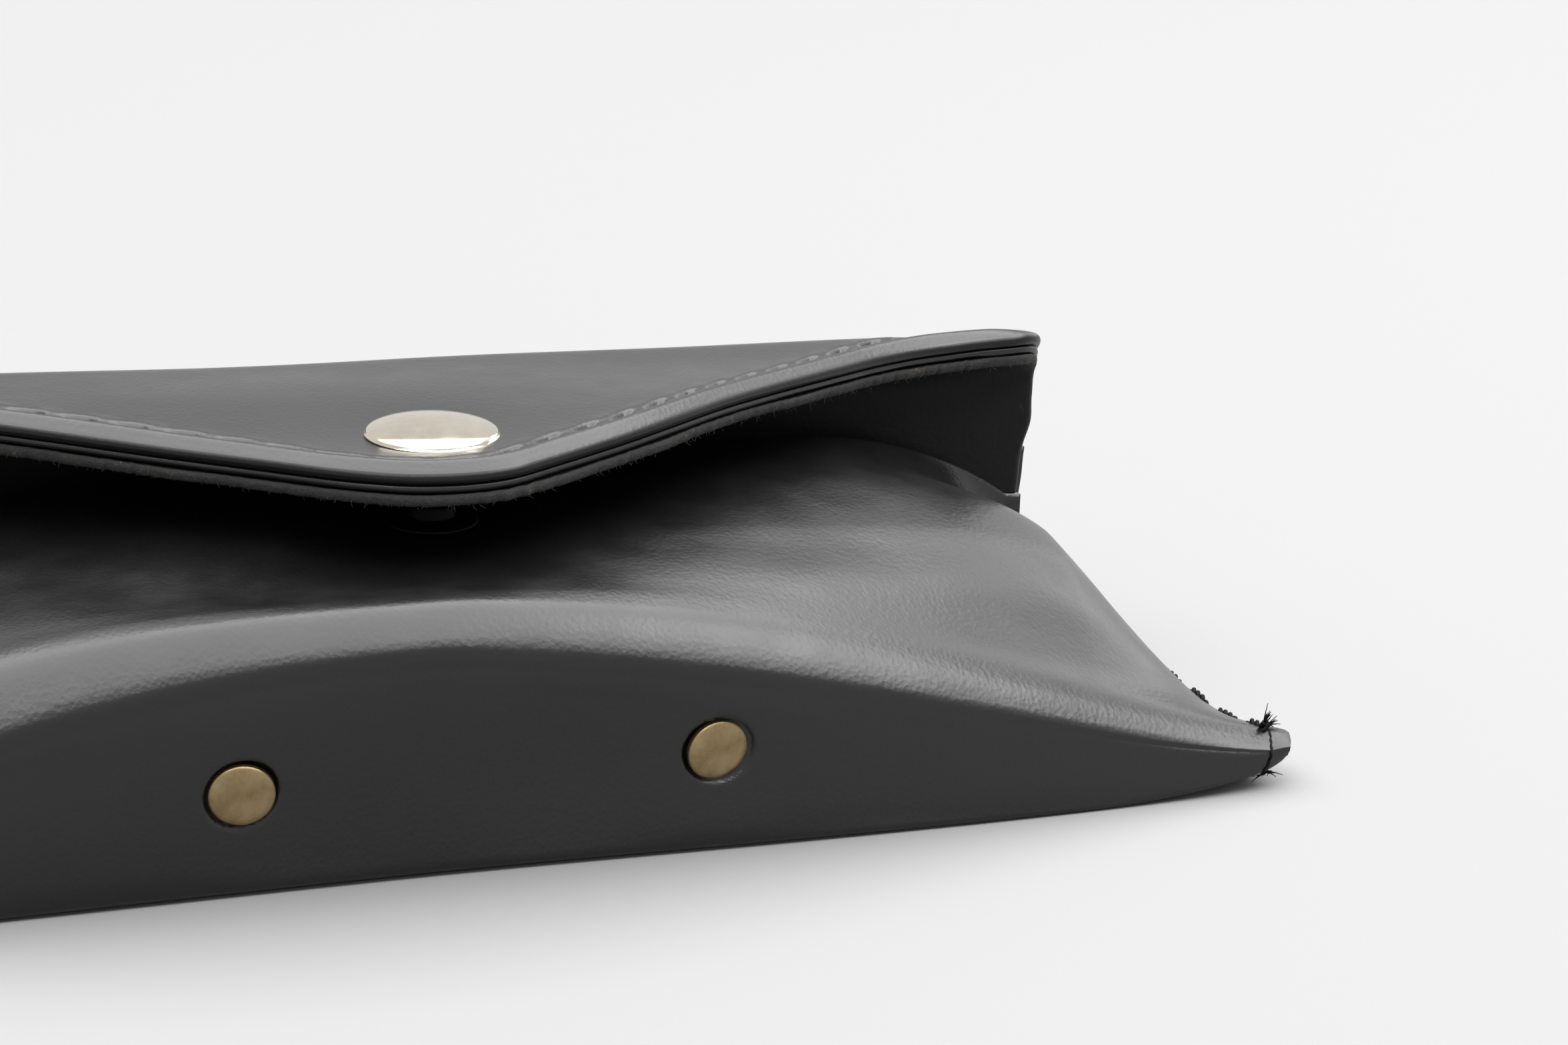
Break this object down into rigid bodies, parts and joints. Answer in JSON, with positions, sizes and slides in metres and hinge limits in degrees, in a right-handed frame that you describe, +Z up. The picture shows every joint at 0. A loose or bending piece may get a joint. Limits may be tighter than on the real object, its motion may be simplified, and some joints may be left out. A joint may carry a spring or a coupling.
{
  "type": "soft pouch glasses case",
  "caption": "Soft leather glasses pouch lying flat, with a leaf-shaped riveted base, an open mouth and a fold-over flap closed by a press snap.",
  "frame": {"origin": "middle of the footprint, on the surface that the pouch lies on", "axes": "+X along the pouch's length, +Y from the riveted base panel to the folded back edge, +Z up"},
  "size_m": [0.16, 0.059, 0.0363],
  "materials": {
    "outer_leather": "satin grain",
    "suede_lining": "matt suede",
    "flap_lining_leather": "satin with a raw cut edge",
    "stiffening_board": "matt bonded leather board",
    "waxed_thread": "waxed",
    "brass": "antique satin",
    "nickel": "polished",
    "black_nickel": "blackened satin",
    "spring_steel": "bright"
  },
  "bodies": {
    "pouch": {"body_leather": "outer_leather", "body_lining": "suede_lining", "base_stiffener": "stiffening_board", "rivet_left": "brass", "rivet_right": "brass", "rivet_burr_left": "brass", "rivet_burr_right": "brass", "side_thread_left": "waxed_thread", "side_thread_right": "waxed_thread", "snap_stud": "black_nickel", "snap_eyelet": "black_nickel"},
    "flap": {"flap_leather": "outer_leather", "flap_core": "flap_lining_leather", "flap_lining": "flap_lining_leather", "flap_thread": "waxed_thread", "snap_cap": "nickel", "snap_socket": "black_nickel", "snap_spring": "spring_steel"}
  },
  "joints": [
    {"name": "flap_hinge", "type": "hinge", "parent": "pouch", "child": "flap", "pos_m": [0, 0.0296, 0.0282], "axis": [-1, 0, 0], "range_deg": [0, 165]}
  ]
}
